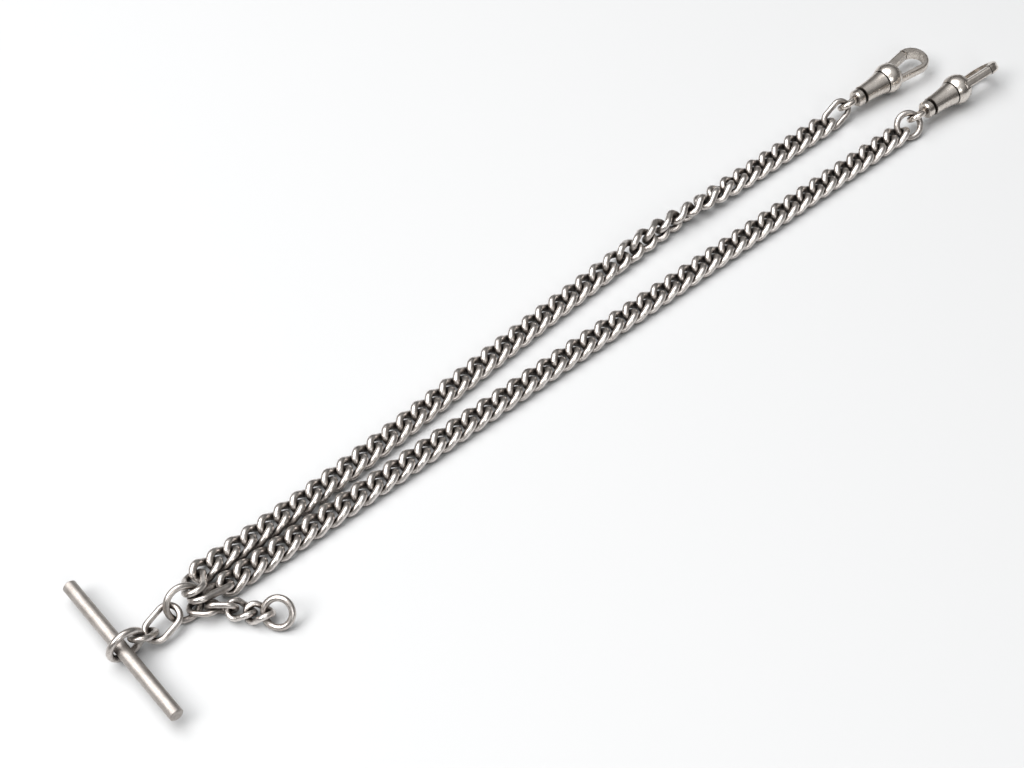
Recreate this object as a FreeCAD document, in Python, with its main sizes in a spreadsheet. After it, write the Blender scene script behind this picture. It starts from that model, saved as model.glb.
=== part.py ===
import FreeCAD, Part
import math
import os
import Sketcher

V = FreeCAD.Vector
doc = FreeCAD.newDocument("watch_chain")

# ---------------------------------------------------------------- sizes, in millimetres and degrees
SIZES = [
    ("bar_half", 19.2, "half the T-bar's length"),
    ("bar_edge", 18.95, "where the end chamfer starts"),
    ("bar_dish", 19.05, "depth the end face is dished to"),
    ("bar_radius", 1.5, "T-bar radius"),
    ("bar_rim", 1.25, "radius inside the end chamfer"),
    ("bar_dish_radius", 0.95, "radius of the dish in the end face"),
    ("ring_wire", 1.5, "wire of the ring round the T-bar"),
    ("ring_outer", 8.8, "outside diameter of the ring round the T-bar"),
    ("junction_wire", 1.4, "wire of the junction ring"),
    ("junction_outer", 8.8, "outside diameter of the junction ring"),
    ("drop_ring_wire", 1.46, "wire of the drop chain's end ring"),
    ("drop_ring_outer", 7.5, "outside diameter of the drop chain's end ring"),
    ("end_ring_wire", 1.5, "wire of the lower chain's end ring"),
    ("end_ring_outer", 7.5, "outside diameter of the lower chain's end ring"),
    ("curb_wire", 1.6, "wire of a curb link"),
    ("curb_length", 7.8, "outside length of a curb link"),
    ("curb_width", 5.5, "outside width of a curb link"),
    ("curb_twist", 50.0, "how far each end of a curb link is turned from flat"),
    ("curb_bend", 1.9, "bend radius of a curb link's corners"),
    ("curb_pitch", 4.25, "distance between neighbouring curb links"),
    ("drop_wire", 1.3, "wire of the drop chain's curb links"),
    ("drop_length", 6.8, "outside length of a drop chain curb link"),
    ("drop_width", 4.9, "outside width of a drop chain curb link"),
    ("drop_bend", 1.7, "bend radius of a drop chain link's corners"),
    ("loop_radius", 1.85, "centreline radius of the swivel eye's loop"),
    ("loop_wire", 1.4, "wire of the swivel eye's loop"),
    ("loop_centre", 2.55, "centre of the loop from the eye's end"),
    ("neck_start", 4.2, "where the neck leaves the loop"),
    ("neck_radius", 0.9, "radius of the neck"),
    ("shoulder_start", 5.35, "near face of the shoulder disc"),
    ("shoulder_small", 1.75, "radius of the shoulder's near face"),
    ("shoulder_round", 5.7, "where the shoulder reaches its full radius"),
    ("shoulder_radius", 2.1, "shoulder disc radius"),
    ("shoulder_full", 6.95, "where the full radius ends"),
    ("shoulder_end", 7.3, "far face of the shoulder disc"),
    ("shoulder_far", 1.8, "radius of the shoulder's far face"),
    ("post_radius", 0.95, "swivel post radius"),
    ("post_head_start", 9.45, "near face of the riveted post head"),
    ("post_head_radius", 1.5, "riveted post head radius"),
    ("post_end", 10.3, "end of the swivel post"),
    ("barrel_start", 7.75, "small end of the barrel"),
    ("barrel_small", 2.3, "barrel radius at the small end"),
    ("barrel_large", 2.93, "barrel radius at the large end"),
    ("barrel_flare", 33.0, "radius of the barrel's hollow flare"),
    ("barrel_end", 14.6, "large end of the barrel"),
    ("groove_radius", 2.6, "radius at the bottom of the groove"),
    ("collar_start", 14.95, "where the collar starts"),
    ("collar_back", 3.05, "collar radius at the groove"),
    ("collar_bulge", 3.37, "radius of the collar's rounded outside"),
    ("collar_shoulder", 18.7, "where the collar turns to its front face"),
    ("collar_front", 3.25, "collar radius where it turns to the front"),
    ("collar_corner", 0.8, "radius of the collar's front corner"),
    ("collar_end", 19.3, "front face of the collar"),
    ("collar_face", 2.5, "radius of the collar's front face"),
    ("cavity_end", 13.0, "end of the hollow inside the barrel"),
    ("cavity_radius", 1.75, "radius of the hollow inside the barrel"),
    ("cavity_start", 9.2, "inner face of the barrel's end wall"),
    ("bore_radius", 1.05, "bore the swivel post turns in"),
    ("hook_width", 2.4, "width of the hook across its plane"),
    ("hook_rounding", 0.75, "rounding of the hook's outer edges"),
    ("hook_foot", 17.2, "where the hook is let into the collar"),
    ("hook_foot_outer", -2.75, "outer side of the hook's foot"),
    ("hook_foot_inner", -1.75, "inner side of the hook's foot"),
    ("hook_turn", 4.05, "radius of the hook's outer turn"),
    ("hook_turn_x", 26.2, "centre of the outer turn from the eye's end"),
    ("hook_turn_y", 0.3, "centre of the outer turn from the clip's axis"),
    ("hook_lip", 26.45, "inner corner of the hook's tip"),
    ("hook_lip_inner", 2.3, "inner side of the tip"),
    ("hook_bow", 28.75, "far end of the hook's hollow"),
    ("hook_bow_side", -0.1, "where the hollow's far end is"),
    ("hook_lip_bend", 2.6, "radius of the hollow under the tip"),
    ("hook_spine", 25.75, "where the hollow meets the straight back"),
    ("hook_spine_inner", -2.62, "inner side of the back there"),
    ("hook_spine_bend", 2.75, "radius of the hollow at the back"),
    ("pin_x", 18.3, "gate pin from the eye's end"),
    ("pin_y", 2.1, "gate pin from the clip's axis"),
    ("pin_radius", 0.35, "gate pin radius"),
    ("pin_length", 5.3, "gate pin length"),
    ("pin_hole", 0.36, "hole for the pin in the collar"),
    ("gate_hole", 0.4, "hole for the pin in the gate"),
    ("gate_root", 1.05, "radius of the gate's round root"),
    ("gate_root_outer_x", 18.14, "outer side of the gate starts here"),
    ("gate_root_outer_y", 3.137, "outer side of the gate at its root"),
    ("gate_tip_outer_x", 25.66, "outer corner of the gate's end"),
    ("gate_tip_outer_y", 4.3, "outer corner of the gate's end"),
    ("gate_tip_inner_x", 26.25, "inner corner of the gate's end"),
    ("gate_tip_inner_y", 2.36, "inner corner of the gate's end"),
    ("gate_root_inner_x", 18.47, "inner side of the gate starts here"),
    ("gate_root_inner_y", 1.063, "inner side of the gate at its root"),
    ("gate_width", 2.0, "width of the gate"),
    ("gate_rounding", 0.6, "rounding of the gate's outer edges"),
    ("slot_start", 17.1, "back of the gate's slot"),
    ("slot_end", 19.9, "slot runs out of the collar's front"),
    ("slot_floor", 0.5, "floor of the gate's slot"),
    ("slot_top", 4.2, "slot runs out of the collar's side"),
    ("slot_width", 2.2, "width of the gate's slot"),
    ("spring_length", 1.8, "gate spring length"),
    ("spring_thickness", 0.18, "gate spring thickness"),
    ("spring_width", 1.6, "gate spring width"),
    ("upper_spread", 8.0, "how far the upper chain drifts from the lower one"),
    ("upper_side", 5.9, "distance of the upper chain's first link from the lower chain"),
    ("x_mid", 23.5, "middle of the layout along the chain"),
]

# Wire, outside length and outside width of each plain oval link.
OVALS = {
    "first": (1.35, 7.8, 5.4),
    "second": (1.35, 9.4, 6.0),
    "lower_long": (1.6, 10.6, 5.5),
    "upper_long": (1.4, 11.0, 5.6),
    "drop_one": (1.2, 7.2, 5.4),
    "drop_two": (1.3, 7.0, 5.0),
    "upper_end": (1.4, 9.0, 5.4),
}

sheet = doc.addObject("Spreadsheet::Sheet", "dims")
rows = list(SIZES)
known = {alias: value for alias, value, note in SIZES}
across = known["hook_turn_x"] - known["hook_foot"]
rise = known["hook_turn_y"] - known["hook_foot_outer"]
lean = math.atan2(rise, across) - math.asin(known["hook_turn"] / math.hypot(across, rise))
for end, angle in (("back", lean - math.pi / 2), ("tip", math.radians(95))):
    x = known["hook_turn_x"] + known["hook_turn"] * math.cos(angle)
    y = known["hook_turn_y"] + known["hook_turn"] * math.sin(angle)
    rows.append(("hook_" + end, x, "where the outer turn meets the " + end))
    rows.append(("hook_" + end + "_outer", y, "outer side there"))
rows.append(("hook_end", known["hook_turn_x"] + known["hook_turn"], "far end of the hook"))
for key, (wire, length, width) in OVALS.items():
    rows.append((key + "_wire", wire, "wire of the " + key + " link"))
    rows.append((key + "_length", length, "outside length of the " + key + " link"))
    rows.append((key + "_width", width, "outside width of the " + key + " link"))
for number, (alias, value, note) in enumerate(rows, start=1):
    sheet.set("A%d" % number, note)
    sheet.set("B%d" % number, str(value))
    sheet.setAlias("B%d" % number, alias)
doc.recompute()


def size(alias):
    return float(sheet.get(alias))


# ---------------------------------------------------------------- placing
def pose(centre, along, normal):
    """Placement with local X along the link and local Z square to its plane."""
    x = V(*along).normalize()
    z = V(*normal)
    z = (z - x * z.dot(x)).normalize()
    y = z.cross(x)
    return FreeCAD.Placement(V(*centre) - V(size("x_mid"), 0, 0), FreeCAD.Rotation(x, y, z, "XZY"))


def turned(degrees):
    return FreeCAD.Placement(V(0, 0, 0), FreeCAD.Rotation(V(1, 0, 0), degrees))


# ---------------------------------------------------------------- sketch helpers
def origin_plane(body, role):
    return next(f for f in body.Origin.OriginFeatures if f.Role == role)


def new_sketch(body, name, role="XY_Plane"):
    sketch = body.newObject("Sketcher::SketchObject", name)
    sketch.AttachmentSupport = [(origin_plane(body, role), "")]
    sketch.MapMode = "FlatFace"
    return sketch


def pin_point(sketch, geometry, end, x_alias, y_alias):
    """Ties a sketch point to the sheet; an empty alias puts it on the axis."""
    ties = (("DistanceX", x_alias, -2), ("DistanceY", y_alias, -1))
    for kind, alias, axis in ties:
        if alias:
            at = sketch.addConstraint(Sketcher.Constraint(kind, -1, 1, geometry, end, size(alias)))
            sketch.setExpression("Constraints[%d]" % at, "dims." + alias)
        else:
            sketch.addConstraint(Sketcher.Constraint("PointOnObject", geometry, end, axis))


def outline(sketch, corners):
    """Closed outline. A corner is (x, y) or (x, y, bend, side): the run after it is then an arc."""
    def at(corner):
        return V(size(corner[0]) if corner[0] else 0, size(corner[1]) if corner[1] else 0, 0)

    count = len(corners)
    for index, corner in enumerate(corners):
        start = at(corner)
        end = at(corners[(index + 1) % count])
        if len(corner) == 2:
            sketch.addGeometry(Part.LineSegment(start, end), False)
            continue
        half = (end - start) * 0.5
        across = V(-half.y, half.x, 0).normalize() * corner[3]
        radius = size(corner[2])
        rise = radius - math.sqrt(radius ** 2 - half.Length ** 2)
        sketch.addGeometry(Part.Arc(start, start + half + across * rise, end), False)
    # An arc runs counter-clockwise, so one that bulges to the left starts at its far corner.
    starts = [2 if len(c) == 4 and c[3] > 0 else 1 for c in corners]
    for index in range(count):
        after = (index + 1) % count
        near_end = 3 - starts[index]
        sketch.addConstraint(Sketcher.Constraint("Coincident", index, near_end, after, starts[after]))
    for index, corner in enumerate(corners):
        pin_point(sketch, index, starts[index], corner[0], corner[1])
        if len(corner) == 4:
            at_bend = sketch.addConstraint(Sketcher.Constraint("Radius", index, size(corner[2])))
            sketch.setExpression("Constraints[%d]" % at_bend, "dims." + corner[2])


def circle(sketch, x_alias, y_alias, radius_alias):
    centre = V(size(x_alias), size(y_alias), 0)
    sketch.addGeometry(Part.Circle(centre, V(0, 0, 1), size(radius_alias)), False)
    pin_point(sketch, 0, 3, x_alias, y_alias)
    at = sketch.addConstraint(Sketcher.Constraint("Radius", 0, size(radius_alias)))
    sketch.setExpression("Constraints[%d]" % at, "dims." + radius_alias)


def revolve(body, name, sketch):
    feature = body.newObject("PartDesign::Revolution", name)
    feature.Profile = sketch
    feature.ReferenceAxis = (sketch, ["H_Axis"])
    feature.Angle = 360
    return feature


def slab(body, kind, name, sketch, width):
    """Pad or pocket of the given width, half on each side of the sketch."""
    feature = body.newObject("PartDesign::" + kind, name)
    feature.Profile = sketch
    feature.SideType = "Symmetric"
    feature.setExpression("Length", width)
    return feature


def round_edges(body, name, feature, radius, wanted):
    doc.recompute()
    chosen = []
    for number, edge in enumerate(feature.Shape.Edges, start=1):
        if wanted(edge):
            chosen.append("Edge%d" % number)
    fillet = body.newObject("PartDesign::Fillet", name)
    fillet.Base = (feature, chosen)
    fillet.setExpression("Radius", radius)
    return fillet


# ---------------------------------------------------------------- plain rings and oval links
def ring(label, key, placement):
    torus = doc.addObject("Part::Torus", label)
    torus.setExpression("Radius1", "(dims.%s_outer - dims.%s_wire) / 2" % (key, key))
    torus.setExpression("Radius2", "dims.%s_wire / 2" % key)
    torus.Placement = placement
    return torus


def oval(label, key, placement):
    """An oval link: two half rings joined by two straight sides."""
    pieces = []
    straight = "(dims.%s_length - dims.%s_width) / 2" % (key, key)
    bend = "(dims.%s_width - dims.%s_wire) / 2" % (key, key)
    for end, turn in ((1, -90), (-1, 90)):
        half = doc.addObject("Part::Torus", "%s_bend" % label)
        half.setExpression("Radius1", bend)
        half.setExpression("Radius2", "dims.%s_wire / 2" % key)
        half.Angle3 = 180
        half.Placement = FreeCAD.Placement(V(0, 0, 0), FreeCAD.Rotation(V(0, 0, 1), turn))
        half.setExpression(".Placement.Base.x", "%d * %s" % (end, straight))
        pieces.append(half)
    for side in (1, -1):
        run = doc.addObject("Part::Cylinder", "%s_side" % label)
        run.setExpression("Radius", "dims.%s_wire / 2" % key)
        run.setExpression("Height", "dims.%s_length - dims.%s_width" % (key, key))
        run.Placement = FreeCAD.Placement(V(0, 0, 0), FreeCAD.Rotation(V(0, 1, 0), 90))
        run.setExpression(".Placement.Base.x", "-1 * " + straight)
        run.setExpression(".Placement.Base.y", "%d * %s" % (side, bend))
        pieces.append(run)
    link = doc.addObject("Part::MultiFuse", label)
    link.Shapes = pieces
    link.Refine = True
    link.Placement = placement
    return link


# ---------------------------------------------------------------- twisted curb links
def curb_link(length, width, wire, twist, bend):
    """A wire loop whose ends are turned opposite ways, as round bends joined by straight runs."""
    reach = (length - wire) / 2
    side = (width - wire) / 2
    lift = side * math.tan(math.radians(twist))
    corners = [V(reach, side, -lift), V(-reach, side, lift),
               V(-reach, -side, -lift), V(reach, -side, lift)]
    bends = []
    for index, corner in enumerate(corners):
        back = (corners[index - 1] - corner).normalize()
        ahead = (corners[(index + 1) % 4] - corner).normalize()
        half = back.getAngle(ahead) / 2
        cut = bend / math.tan(half)
        centre = corner + (back + ahead).normalize() * (bend / math.sin(half))
        bends.append((corner + back * cut, corner + ahead * cut, centre, back * -1, math.pi - 2 * half))
    faces = []
    for index, (start, end, centre, travel, angle) in enumerate(bends):
        section = Part.makeCircle(wire / 2, start, travel)
        axis = (start - centre).cross(travel)
        faces += section.revolve(centre, axis, math.degrees(angle)).Faces
        run = bends[(index + 1) % 4][0] - end
        faces += Part.makeCircle(wire / 2, end, run).extrude(run).Faces
    skin = Part.makeCompound(faces)
    skin.sewShape(1e-5)
    solid = Part.Solid(skin.Shells[0])
    if solid.Volume < 0:
        solid.reverse()
    return solid


def curb_run(label, link, places):
    """Separate links hooked through each other, placed from the run's first link."""
    first = places[0]
    run = doc.addObject("Part::Feature", label)
    copies = []
    for place in places:
        copy = link.copy()
        copy.Placement = first.inverse().multiply(place)
        copies.append(copy)
    run.Shape = Part.makeCompound(copies) if len(copies) > 1 else copies[0]
    run.Placement = first
    return run


MAIN_LINK = curb_link(size("curb_length"), size("curb_width"), size("curb_wire"),
                      size("curb_twist"), size("curb_bend"))
DROP_LINK = curb_link(size("drop_length"), size("drop_width"), size("drop_wire"),
                      size("curb_twist"), size("drop_bend"))
LINKS_PER_RUN = 3
LOWER_LINKS = 47
UPPER_LINKS = 45
LOWER_FIRST_X = -76.5
UPPER_FIRST_X = -79.1
FLAT_HEIGHT = 1.82
EDGE_HEIGHT = 2.8
CORNER_POWER = 1.37  # between an ellipse (2) and a sharp-cornered outline (1)
SPREAD_FROM, SPREAD_TO = -75.0, 60.0
TWIST_FROM, TWIST_TO = 26.0, 88.0


def eased(value, low, high):
    part = min(1.0, max(0.0, (value - low) / (high - low)))
    return part * part * (3 - 2 * part)


def upper_side(x):
    return size("upper_side") + size("upper_spread") * eased(x, SPREAD_FROM, SPREAD_TO)


def lower_places():
    places = []
    for number in range(LOWER_LINKS):
        x = LOWER_FIRST_X + size("curb_pitch") * number
        places.append(pose((x, 0, FLAT_HEIGHT), (1, 0, 0), (0, 0, 1)))
    return places


def upper_places():
    """The upper chain drifts away from the lower one and turns half over on its way."""
    places = []
    x = UPPER_FIRST_X
    for number in range(UPPER_LINKS):
        slope = (upper_side(x + 1) - upper_side(x - 1)) / 2
        roll = 180 * eased(x, TWIST_FROM, TWIST_TO)
        angle = math.radians(roll)
        flat = (FLAT_HEIGHT * abs(math.cos(angle))) ** CORNER_POWER
        edge = (EDGE_HEIGHT * abs(math.sin(angle))) ** CORNER_POWER
        height = (flat + edge) ** (1 / CORNER_POWER)
        place = pose((x, upper_side(x), height), (1, slope, 0), (0, 0, 1))
        places.append(place.multiply(turned(roll)))
        x += size("curb_pitch") / math.hypot(1, slope)
    return places


# ---------------------------------------------------------------- T-bar
def t_bar(label, placement):
    body = doc.addObject("PartDesign::Body", label)
    sketch = new_sketch(body, label + "_profile")
    outline(sketch, [
        ("bar_dish", None), ("bar_half", "bar_dish_radius"), ("bar_half", "bar_rim"),
        ("bar_edge", "bar_radius"), (None, "bar_radius"), (None, None),
    ])
    revolve(body, label + "_turned", sketch)
    mirror = body.newObject("PartDesign::Mirrored", label + "_both_arms")
    mirror.Originals = [body.Group[-2]]
    mirror.MirrorPlane = (origin_plane(body, "YZ_Plane"), [""])
    body.Tip = mirror
    body.Placement = placement
    return body


# ---------------------------------------------------------------- swivel clips
def swivel_eye(label, placement):
    body = doc.addObject("PartDesign::Body", label)
    sketch = new_sketch(body, label + "_profile")
    outline(sketch, [
        ("neck_start", None), ("neck_start", "neck_radius"), ("shoulder_start", "neck_radius"),
        ("shoulder_start", "shoulder_small"), ("shoulder_round", "shoulder_radius"),
        ("shoulder_full", "shoulder_radius"), ("shoulder_end", "shoulder_far"),
        ("shoulder_end", "post_radius"), ("post_head_start", "post_radius"),
        ("post_head_start", "post_head_radius"), ("post_end", "post_head_radius"), ("post_end", None),
    ])
    revolve(body, label + "_post", sketch)
    loop = body.newObject("PartDesign::AdditiveTorus", label + "_loop")
    loop.setExpression("Radius1", "dims.loop_radius")
    loop.setExpression("Radius2", "dims.loop_wire / 2")
    loop.Placement = FreeCAD.Placement(V(size("loop_centre"), 0, 0), FreeCAD.Rotation())
    body.Placement = placement
    return body


def clip_body(label, placement):
    """Barrel, collar and hook, with the slot and pin hole for the gate."""
    body = doc.addObject("PartDesign::Body", label)
    hook_outline = new_sketch(body, label + "_hook_outline")
    outline(hook_outline, [
        ("hook_foot", "hook_foot_outer"), ("hook_back", "hook_back_outer", "hook_turn", -1),
        ("hook_end", "hook_turn_y", "hook_turn", -1), ("hook_tip", "hook_tip_outer"),
        ("hook_lip", "hook_lip_inner", "hook_lip_bend", 1),
        ("hook_bow", "hook_bow_side", "hook_spine_bend", 1),
        ("hook_spine", "hook_spine_inner"), ("hook_foot", "hook_foot_inner"),
    ])
    hook = slab(body, "Pad", label + "_hook", hook_outline, "dims.hook_width")

    def outer_edge(edge):
        middle = edge.valueAt((edge.FirstParameter + edge.LastParameter) / 2)
        far = math.hypot((middle.x - 24.2) / 5.2, (middle.y - 0.3) / 3.75) > 1.0
        inside = middle.y > -3.0 and middle.x < 24 or edge.Length < 2.3
        return edge.BoundBox.ZLength < 1e-3 and far and not inside

    round_edges(body, label + "_hook_rounding", hook, "dims.hook_rounding", outer_edge)
    turned_profile = new_sketch(body, label + "_barrel_profile")
    outline(turned_profile, [
        ("barrel_start", "bore_radius"), ("barrel_start", "barrel_small", "barrel_flare", -1),
        ("barrel_end", "barrel_large"), ("barrel_end", "groove_radius"),
        ("collar_start", "groove_radius"), ("collar_start", "collar_back", "collar_bulge", 1),
        ("collar_shoulder", "collar_front", "collar_corner", 1), ("collar_end", "collar_face"),
        ("collar_end", None), ("cavity_end", None), ("cavity_end", "cavity_radius"),
        ("cavity_start", "cavity_radius"), ("cavity_start", "bore_radius"),
    ])
    revolve(body, label + "_barrel", turned_profile)
    doc.recompute()
    slot_outline = new_sketch(body, label + "_slot_outline")
    outline(slot_outline, [
        ("slot_start", "slot_floor"), ("slot_end", "slot_floor"),
        ("slot_end", "slot_top"), ("slot_start", "slot_top"),
    ])
    slab(body, "Pocket", label + "_slot", slot_outline, "dims.slot_width")
    hole_outline = new_sketch(body, label + "_pin_hole_outline")
    circle(hole_outline, "pin_x", "pin_y", "pin_hole")
    slab(body, "Pocket", label + "_pin_hole", hole_outline, "3 * dims.gate_width")
    body.Placement = placement
    return body


def clip_gate(label, placement):
    body = doc.addObject("PartDesign::Body", label)
    arm_outline = new_sketch(body, label + "_arm_outline")
    outline(arm_outline, [
        ("gate_root_outer_x", "gate_root_outer_y"), ("gate_tip_outer_x", "gate_tip_outer_y"),
        ("gate_tip_inner_x", "gate_tip_inner_y"), ("gate_root_inner_x", "gate_root_inner_y"),
    ])
    arm = slab(body, "Pad", label + "_arm", arm_outline, "dims.gate_width")

    def outer_edge(edge):
        middle = edge.valueAt((edge.FirstParameter + edge.LastParameter) / 2)
        return edge.BoundBox.XLength > 3 and middle.y > 3

    round_edges(body, label + "_arm_rounding", arm, "dims.gate_rounding", outer_edge)
    doc.recompute()
    root_outline = new_sketch(body, label + "_root_outline")
    circle(root_outline, "pin_x", "pin_y", "gate_root")
    slab(body, "Pad", label + "_root", root_outline, "dims.gate_width")
    hole_outline = new_sketch(body, label + "_hole_outline")
    circle(hole_outline, "pin_x", "pin_y", "gate_hole")
    slab(body, "Pocket", label + "_hole", hole_outline, "2 * dims.gate_width")
    body.Placement = placement
    return body


def gate_pin(label, placement):
    pin = doc.addObject("Part::Cylinder", label)
    pin.setExpression("Radius", "dims.pin_radius")
    pin.setExpression("Height", "dims.pin_length")
    offset = V(size("pin_x"), size("pin_y"), -size("pin_length") / 2)
    pin.Placement = placement.multiply(FreeCAD.Placement(offset, FreeCAD.Rotation()))
    return pin


def gate_spring(label, placement):
    leaf = doc.addObject("Part::Box", label)
    leaf.setExpression("Length", "dims.spring_length")
    leaf.setExpression("Width", "dims.spring_thickness")
    leaf.setExpression("Height", "dims.spring_width")
    offset = V(size("slot_start") + 0.1, size("slot_floor") + 0.01, -size("spring_width") / 2)
    leaf.Placement = placement.multiply(FreeCAD.Placement(offset, FreeCAD.Rotation()))
    return leaf


def clip(name, place, eye_turn):
    return [
        swivel_eye(name + "_swivel_eye", place.multiply(turned(eye_turn))),
        clip_body(name + "_clip_body", place),
        clip_gate(name + "_clip_gate", place),
        gate_pin(name + "_gate_pin", place),
        gate_spring(name + "_gate_spring", place),
    ]


# ---------------------------------------------------------------- the whole chain
CLIP_TURN = 130
LOWER_CLIP_AT = (123.15, 0, 4.2)
UPPER_CLIP_AT = (113.6, 13.9, 3.8)

parts = [
    t_bar("t_bar", pose((-102.98, 0, 3.84), (0, 1, 0), (0, 0, 1))),
    ring("bar_ring", "ring", pose((-101.98, 0, 4.42), (1, 0, 0), (0, 1, 0))),
    oval("first_link", "first",
         pose((-97.87, 0.26, 3.3), (0.631, 0.408, -0.66), (0.377, 0.582, 0.721))),
    oval("second_link", "second",
         pose((-93.36, 0.36, 2.87), (0.96, 0.197, 0.197), (-0.14, -0.272, 0.952))),
    ring("junction_ring", "junction",
         pose((-87.81, 0.77, 3.95), (0.996, -0.066, 0.061), (-0.088, -0.866, 0.492))),
    oval("lower_long_link", "lower_long",
         pose((-81.85, 0.11, 2.95), (0.955, 0.027, -0.297), (0.225, 0.588, 0.777))),
    oval("upper_long_link", "upper_long",
         pose((-83.44, 3.59, 3.56), (0.4, 0.719, -0.569), (0, 0.621, 0.784))),
    oval("drop_link_1", "drop_one",
         pose((-84.88, -1.48, 2.04), (0.626, -0.764, 0.158), (0.185, 0.343, 0.921))),
    oval("drop_link_2", "drop_two",
         pose((-82.25, -4.16, 2.47), (0.768, -0.64, 0), (0.622, 0.746, 0.238))),
    curb_run("drop_link_3", DROP_LINK,
             [pose((-79.52, -6.79, 1.92), (0.694, -0.708, -0.131), (0.164, -0.022, 0.986))]),
    curb_run("drop_link_4", DROP_LINK,
             [pose((-77.16, -9.7, 2.01), (0.656, -0.74, 0.151), (-0.058, 0.15, 0.987))]),
    ring("drop_end_ring", "drop_ring",
         pose((-74.45, -12.55, 2.85), (0.587, -0.805, 0.085), (-0.599, -0.361, 0.715))),
]

for side, link_places in (("lower", lower_places()), ("upper", upper_places())):
    for start in range(0, len(link_places), LINKS_PER_RUN):
        label = "%s_chain_%02d" % (side, start // LINKS_PER_RUN + 1)
        parts.append(curb_run(label, MAIN_LINK, link_places[start:start + LINKS_PER_RUN]))

parts.append(ring("lower_end_ring", "end_ring",
                  pose((123.05, -0.13, 2.88), (0.934, -0.035, 0.355), (-0.294, -0.639, 0.711))))
parts.append(oval("upper_end_link", "upper_end",
                  pose((112.47, 13.88, 2.77), (0.929, 0.102, 0.355), (-0.199, -0.672, 0.713))))
parts += clip("lower", pose(LOWER_CLIP_AT, (1, 0, 0), (0, 0, 1)).multiply(turned(CLIP_TURN)), 0)
parts += clip("upper", pose(UPPER_CLIP_AT, (1, 0, 0), (0, 0, 1)), CLIP_TURN)

doc.recompute()
for item in doc.Objects:
    if "Invalid" in item.State or "Error" in item.State:
        raise RuntimeError("%s did not build: %s" % (item.Name, item.State))
os.makedirs("parts", exist_ok=True)
for part in parts:
    if part.Shape.isNull() or not part.Shape.isValid():
        raise RuntimeError(part.Label + " has no valid shape")
    part.Shape.exportStep("parts/%s.step" % part.Label)
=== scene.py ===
import math

import bpy
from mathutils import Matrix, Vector


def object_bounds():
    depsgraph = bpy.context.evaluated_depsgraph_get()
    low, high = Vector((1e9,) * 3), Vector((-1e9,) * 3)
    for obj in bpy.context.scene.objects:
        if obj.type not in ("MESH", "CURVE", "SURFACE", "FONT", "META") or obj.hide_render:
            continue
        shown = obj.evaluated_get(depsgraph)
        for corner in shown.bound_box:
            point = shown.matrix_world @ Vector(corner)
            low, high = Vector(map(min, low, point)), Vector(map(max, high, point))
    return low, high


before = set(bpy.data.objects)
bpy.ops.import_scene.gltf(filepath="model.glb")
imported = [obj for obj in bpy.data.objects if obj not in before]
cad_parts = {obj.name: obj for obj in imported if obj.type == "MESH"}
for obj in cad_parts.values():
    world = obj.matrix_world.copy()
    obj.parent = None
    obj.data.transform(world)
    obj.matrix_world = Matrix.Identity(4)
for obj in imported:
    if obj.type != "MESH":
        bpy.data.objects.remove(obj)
cad_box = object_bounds()

MM = 0.001

# ---------------------------------------------------------------- camera, floor and light
CAMERA_TARGET = Vector((-23.7, 3.1, 0)) * MM
CAMERA_DISTANCE = 426.2 * MM
CAMERA_ELEVATION = math.radians(52.0)
CAMERA_BEARING = math.radians(40.3)
CAMERA_LENS = 68.4

FLOOR_REACH = 2.5
FLOOR_GAP = 0.02 * MM
FLOOR_COLOR = (0.58, 0.585, 0.59, 1)

ROOM_STRENGTH = 0.6
ROOM_TONES = (
    (0.0, (0.14, 0.135, 0.13, 1)),
    (0.5, (0.24, 0.235, 0.23, 1)),
    (0.9, (1.0, 1.0, 1.0, 1)),
)


def from_target(bearing, elevation, distance):
    """A point seen from the target: bearing 0 is towards -Y, and grows towards -X."""
    flat = math.cos(elevation)
    way = Vector((-flat * math.sin(bearing), -flat * math.cos(bearing), math.sin(elevation)))
    return CAMERA_TARGET + way * distance


def aim(obj, point):
    obj.rotation_euler = (point - obj.location).to_track_quat("-Z", "Y").to_euler()


def add_camera():
    data = bpy.data.cameras.new("camera")
    data.lens = CAMERA_LENS
    data.sensor_width = 36
    data.clip_start = 0.01
    camera = bpy.data.objects.new("camera", data)
    bpy.context.scene.collection.objects.link(camera)
    camera.location = from_target(CAMERA_BEARING, CAMERA_ELEVATION, CAMERA_DISTANCE)
    aim(camera, CAMERA_TARGET)
    bpy.context.scene.camera = camera


def add_softbox(name, bearing, elevation, distance, side, power, color=(1, 1, 1)):
    data = bpy.data.lights.new(name, "AREA")
    data.shape = "SQUARE"
    data.size = side
    data.energy = power
    data.color = color
    light = bpy.data.objects.new(name, data)
    bpy.context.scene.collection.objects.link(light)
    light.location = from_target(math.radians(bearing), math.radians(elevation), distance)
    aim(light, CAMERA_TARGET)


def add_room():
    """A pale room that darkens towards the floor, for the metal to mirror."""
    world = bpy.data.worlds.new("room")
    world.use_nodes = True
    nodes = world.node_tree.nodes
    links = world.node_tree.links
    background = nodes["Background"]
    where = nodes.new("ShaderNodeTexCoord")
    split = nodes.new("ShaderNodeSeparateXYZ")
    ramp = nodes.new("ShaderNodeValToRGB")
    links.new(where.outputs["Generated"], split.inputs[0])
    links.new(split.outputs["Z"], ramp.inputs["Fac"])
    links.new(ramp.outputs["Color"], background.inputs["Color"])
    stops = ramp.color_ramp.elements
    stops.remove(stops[1])
    for index, (height, tone) in enumerate(ROOM_TONES):
        stop = stops[0] if index == 0 else stops.new(height)
        stop.position = height
        stop.color = tone
    background.inputs["Strength"].default_value = ROOM_STRENGTH
    bpy.context.scene.world = world


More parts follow.
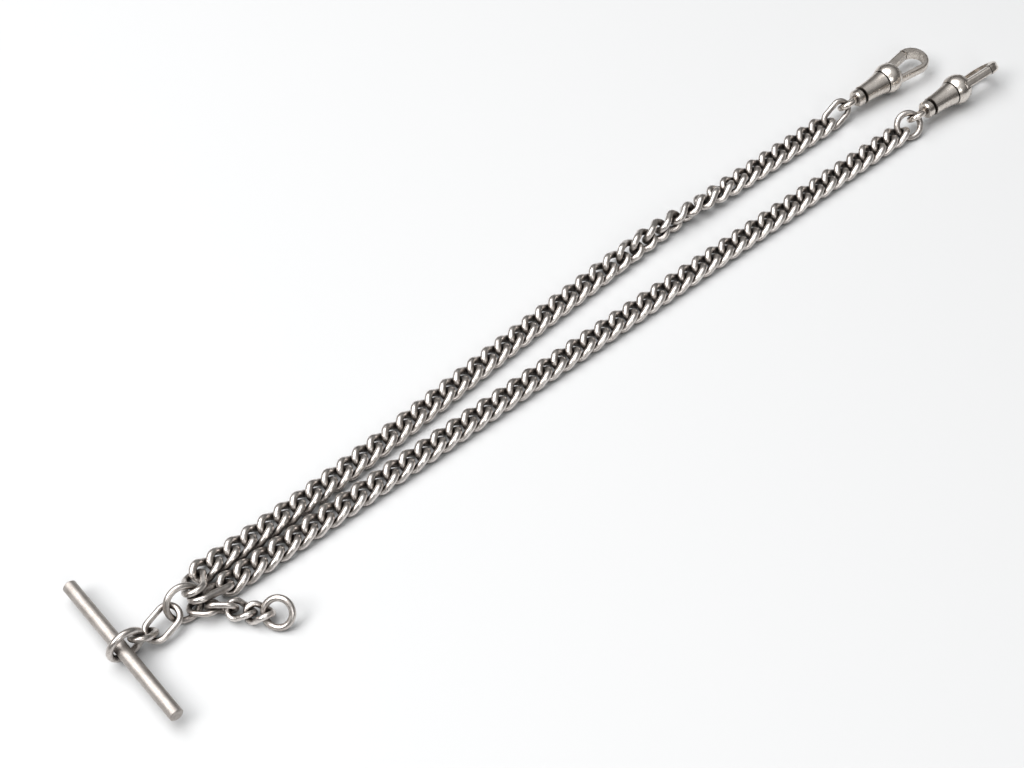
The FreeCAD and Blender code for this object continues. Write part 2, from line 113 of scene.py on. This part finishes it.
def add_floor():
    mesh = bpy.data.meshes.new("floor")
    corners = [(x * FLOOR_REACH, y * FLOOR_REACH, 0) for x, y in ((-1, -1), (1, -1), (1, 1), (-1, 1))]
    mesh.from_pydata(corners, [], [(0, 1, 2, 3)])
    floor = bpy.data.objects.new("floor", mesh)
    floor.location.z = cad_box[0][2] - FLOOR_GAP
    bpy.context.scene.collection.objects.link(floor)
    material = bpy.data.materials.new("white_table")
    material.use_nodes = True
    shader = material.node_tree.nodes["Principled BSDF"]
    shader.inputs["Base Color"].default_value = FLOOR_COLOR
    shader.inputs["Roughness"].default_value = 0.6
    shader.inputs["Specular IOR Level"].default_value = 0.2
    mesh.materials.append(material)


# ---------------------------------------------------------------- worn silver
BLOTCHES_PER_M = 420
SPECKS_PER_M = 2600
SCRATCHES_PER_M = 2200
SCRATCH_DEPTH = 0.03 * MM

# Brown and black laid where ambient occlusion finds crevices, gaps and the floor below: partly oxide, partly
# painted shade.
TARNISH_AND_SHADE = (0.25, 0.215, 0.190)
OXIDE_AND_SHADE = (0.055, 0.047, 0.042)


def math_node(tree, kind, first, second):
    """A clamped Math node fed by sockets or plain numbers."""
    node = tree.nodes.new("ShaderNodeMath")
    node.operation = kind
    node.use_clamp = True
    for socket, value in zip(node.inputs, (first, second)):
        if isinstance(value, (int, float)):
            socket.default_value = value
        else:
            tree.links.new(value, socket)
    return node.outputs[0]


def noise(tree, where, scale, detail, stretch=(1, 1, 1)):
    mapping = tree.nodes.new("ShaderNodeMapping")
    mapping.inputs["Scale"].default_value = stretch
    tree.links.new(where, mapping.inputs["Vector"])
    node = tree.nodes.new("ShaderNodeTexNoise")
    node.inputs["Scale"].default_value = scale
    node.inputs["Detail"].default_value = detail
    tree.links.new(mapping.outputs[0], node.inputs["Vector"])
    return node.outputs["Fac"]


def spread(tree, value, low, high, to_low=0.0, to_high=1.0):
    """The value's range from low to high, stretched to run from to_low to to_high."""
    node = tree.nodes.new("ShaderNodeMapRange")
    node.inputs["From Min"].default_value = low
    node.inputs["From Max"].default_value = high
    node.inputs["To Min"].default_value = to_low
    node.inputs["To Max"].default_value = to_high
    tree.links.new(value, node.inputs["Value"])
    return node.outputs["Result"]


def mixed(tree, factor, first, second):
    """Two colours, sockets or plain tuples, mixed by a factor."""
    node = tree.nodes.new("ShaderNodeMix")
    node.data_type = "RGBA"
    tree.links.new(factor, node.inputs["Factor"])
    for socket, value in ((node.inputs[6], first), (node.inputs[7], second)):
        if isinstance(value, tuple):
            socket.default_value = (*value, 1)
        else:
            tree.links.new(value, socket)
    return node.outputs[2]


def silver(name, bright, warm, patina_and_shade_reach, rough, scratch_run):
    """Old silver: bright where it rubs; brown then black in the crevices, gaps between parts and undersides
    near the floor, partly real oxide and partly painted shade; blotches, fine scratches.
    """
    material = bpy.data.materials.new(name)
    material.use_nodes = True
    tree = material.node_tree
    shader = tree.nodes["Principled BSDF"]
    shader.inputs["Metallic"].default_value = 1.0
    where = tree.nodes.new("ShaderNodeTexCoord").outputs["Object"]
    blotch = noise(tree, where, BLOTCHES_PER_M, 3)
    speck = noise(tree, where, SPECKS_PER_M, 4)
    scratches = noise(tree, where, SCRATCHES_PER_M, 5, scratch_run)

    # Ambient occlusion, floor included, darkens crevices, gaps between parts and undersides near the floor:
    # partly the oxide real silver holds in its hollows, partly painted shade.
    openness = tree.nodes.new("ShaderNodeAmbientOcclusion")
    openness.samples = 6
    openness.inputs["Distance"].default_value = patina_and_shade_reach
    patina_and_shade_mask = spread(tree, openness.outputs["AO"], 0.85, 0.35)
    uneven = spread(tree, speck, 0.35, 0.65, -0.18, 0.18)
    grime_and_shade = math_node(tree, "ADD", patina_and_shade_mask, uneven)

    blotched = mixed(tree, spread(tree, blotch, 0.35, 0.7), bright, warm)
    rubbed = mixed(tree, spread(tree, scratches, 0.3, 0.75, 0.0, 0.35), blotched, warm)
    # Brown, then black, over the occluded places: oxide and painted shade together.
    browned_and_shaded = mixed(tree, spread(tree, grime_and_shade, 0.0, 0.5), rubbed, TARNISH_AND_SHADE)
    blackened_and_shaded = mixed(tree, spread(tree, grime_and_shade, 0.4, 1.0), browned_and_shaded, OXIDE_AND_SHADE)
    tree.links.new(blackened_and_shaded, shader.inputs["Base Color"])

    dull = math_node(tree, "MULTIPLY", grime_and_shade, 0.25)
    brushed = spread(tree, scratches, 0.25, 0.8, rough - 0.07, rough + 0.1)
    tree.links.new(math_node(tree, "ADD", brushed, dull), shader.inputs["Roughness"])

    bump = tree.nodes.new("ShaderNodeBump")
    bump.inputs["Strength"].default_value = 0.35
    bump.inputs["Distance"].default_value = SCRATCH_DEPTH
    tree.links.new(scratches, bump.inputs["Height"])
    tree.links.new(bump.outputs[0], shader.inputs["Normal"])
    return material


def silver_of_each_slot():
    """One silver for each material slot of the record, with its scratches along the piece."""
    return {
        "curb_silver": silver("curb_silver", (0.80, 0.762, 0.730), (0.58, 0.540, 0.508),
                              2.2 * MM, 0.30, (1, 0.6, 1)),
        "ring_silver": silver("ring_silver", (0.68, 0.643, 0.612), (0.46, 0.423, 0.393),
                              2.4 * MM, 0.31, (1, 0.6, 1)),
        "bar_silver": silver("bar_silver", (0.50, 0.468, 0.442), (0.38, 0.350, 0.326),
                             1.4 * MM, 0.50, (1, 0.08, 1)),
        "clip_silver": silver("clip_silver", (0.84, 0.790, 0.735), (0.66, 0.605, 0.550),
                              1.5 * MM, 0.26, (0.15, 1, 1)),
        "gate_spring": silver("gate_spring", (0.35, 0.350, 0.360), (0.25, 0.250, 0.260),
                              1.0 * MM, 0.35, (0.2, 1, 1)),
    }


def slot_of(node):
    """The material slot that a node's name says it belongs to."""
    if "chain" in node or node in ("drop_link_3", "drop_link_4"):
        return "curb_silver"
    if "spring" in node:
        return "gate_spring"
    if node == "t_bar":
        return "bar_silver"
    if "clip" in node or "swivel" in node or "pin" in node:
        return "clip_silver"
    return "ring_silver"


def dress_all():
    silvers = silver_of_each_slot()
    for node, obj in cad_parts.items():
        obj.data.materials.clear()
        obj.data.materials.append(silvers[slot_of(node)])


dress_all()
add_camera()
add_room()
add_floor()
add_softbox("overhead", 150, 70, 1.1, 1.0, 14)
add_softbox("window", 100, 45, 1.2, 0.5, 7, (1.0, 0.985, 0.97))
add_softbox("fill", 20, 35, 1.3, 0.5, 3)
bpy.context.scene.view_settings.view_transform = "Standard"
